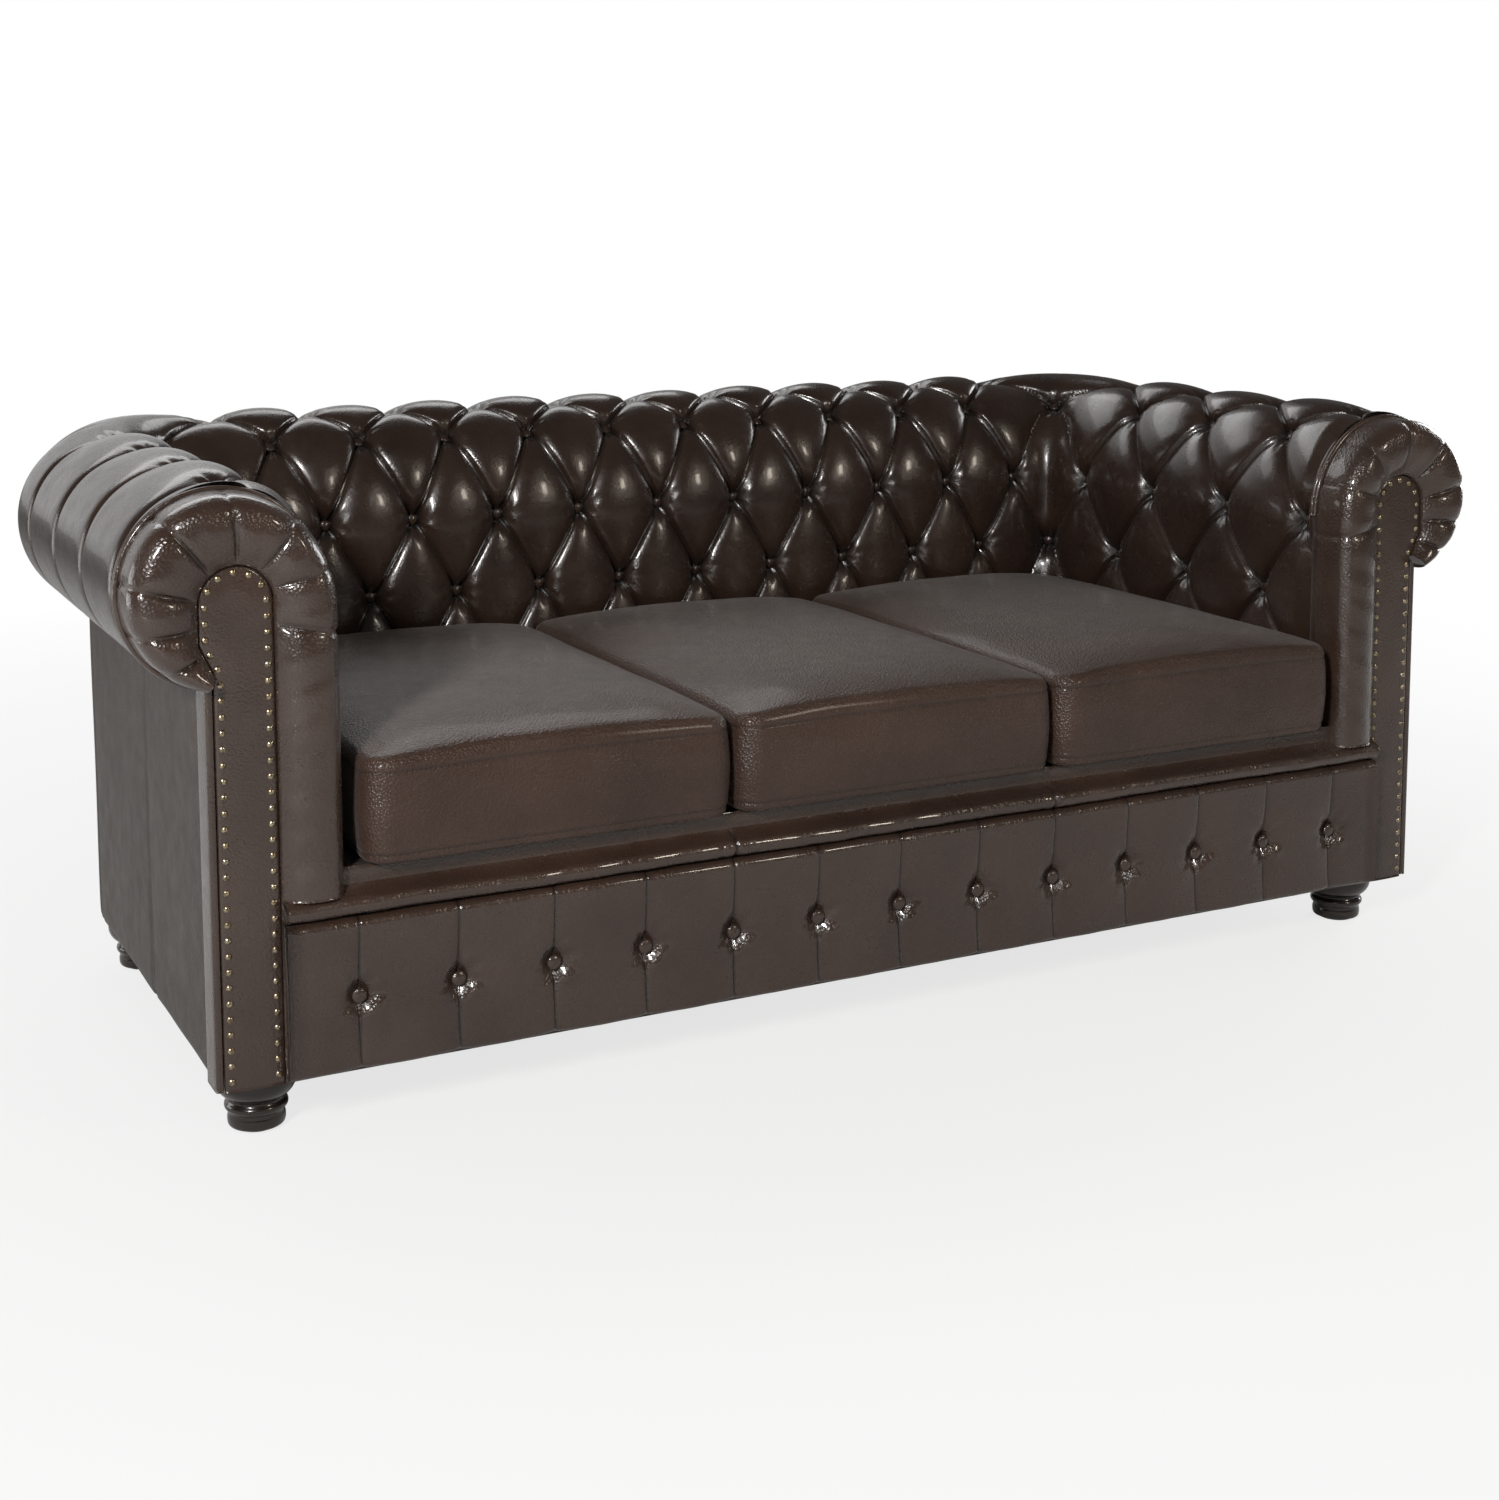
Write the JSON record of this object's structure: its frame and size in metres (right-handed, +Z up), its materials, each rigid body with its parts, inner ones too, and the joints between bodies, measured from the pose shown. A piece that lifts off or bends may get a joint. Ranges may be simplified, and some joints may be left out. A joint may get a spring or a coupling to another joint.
{
  "type": "chesterfield sofa",
  "caption": "Rolled-arm sofa with deep-buttoned back and arms, loose seat cushions, a buttoned pleated front skirt, nailed arm facings and turned bun feet",
  "frame": {"origin": "on the floor, under the middle of the sofa's outline", "axes": "+X along the sofa, to the right when seen from the front; +Y from the front to the back; +Z up"},
  "size_m": [1.95, 0.96, 0.7747],
  "materials": {
    "leather": "semi-gloss grained dark brown",
    "deck_leather": "matte grained dark brown",
    "frame_wood": "planed, unfinished",
    "foot_wood": "gloss dark stain",
    "brass": "antique",
    "steel": "drawn",
    "dust_cloth": "non-woven",
    "foam": "open cell foam",
    "glide": "moulded"
  },
  "bodies": {
    "sofa": {"back_pad": "leather", "arm_pad_left": "leather", "arm_pad_right": "leather", "corner_pad_left": "leather", "corner_pad_right": "leather", "back_buttons": "leather", "arm_buttons_left": "leather", "arm_buttons_right": "leather", "skirt_buttons": "leather", "outer_back": "leather", "outer_arm_front_left": "leather", "outer_arm_front_right": "leather", "outer_arm_rear_left": "leather", "outer_arm_rear_right": "leather", "outer_corner_left": "leather", "outer_corner_right": "leather", "facing_strip_left": "leather", "facing_strip_right": "leather", "scroll_border_left": "leather", "scroll_border_right": "leather", "front_welt_left": "leather", "front_welt_right": "leather", "seat_lip": "leather", "skirt": "leather", "front_rail": "frame_wood", "back_rail": "frame_wood", "side_rail_left": "frame_wood", "side_rail_right": "frame_wood", "cross_rails": "frame_wood", "corner_blocks": "frame_wood", "front_board_left": "frame_wood", "front_board_right": "frame_wood", "rear_post_left": "frame_wood", "rear_post_right": "frame_wood", "arm_top_rail_left": "frame_wood", "arm_top_rail_right": "frame_wood", "arm_tuck_rail_left": "frame_wood", "arm_tuck_rail_right": "frame_wood", "back_top_rail": "frame_wood", "back_tuck_rail": "frame_wood", "back_uprights": "frame_wood", "foot_front_left": "foot_wood", "foot_front_right": "foot_wood", "foot_back_left": "foot_wood", "foot_back_right": "foot_wood", "facing_nails_left": "brass", "facing_nails_right": "brass", "seat_springs": "steel", "spring_clips": "steel", "foot_bolts": "steel", "deck_pad": "deck_leather", "dust_cover": "dust_cloth", "foot_glides": "glide"},
    "cushion_left_body": {"cushion_left": "leather", "cushion_core_left": "foam"},
    "cushion_middle_body": {"cushion_middle": "leather", "cushion_core_middle": "foam"},
    "cushion_right_body": {"cushion_right": "leather", "cushion_core_right": "foam"}
  },
  "joints": [
    {"name": "cushion_left_lift", "type": "slide", "parent": "sofa", "child": "cushion_left_body", "axis": [0, 0, 1], "range_m": [0, 0.4]},
    {"name": "cushion_middle_lift", "type": "slide", "parent": "sofa", "child": "cushion_middle_body", "axis": [0, 0, 1], "range_m": [0, 0.4]},
    {"name": "cushion_right_lift", "type": "slide", "parent": "sofa", "child": "cushion_right_body", "axis": [0, 0, 1], "range_m": [0, 0.4]}
  ]
}
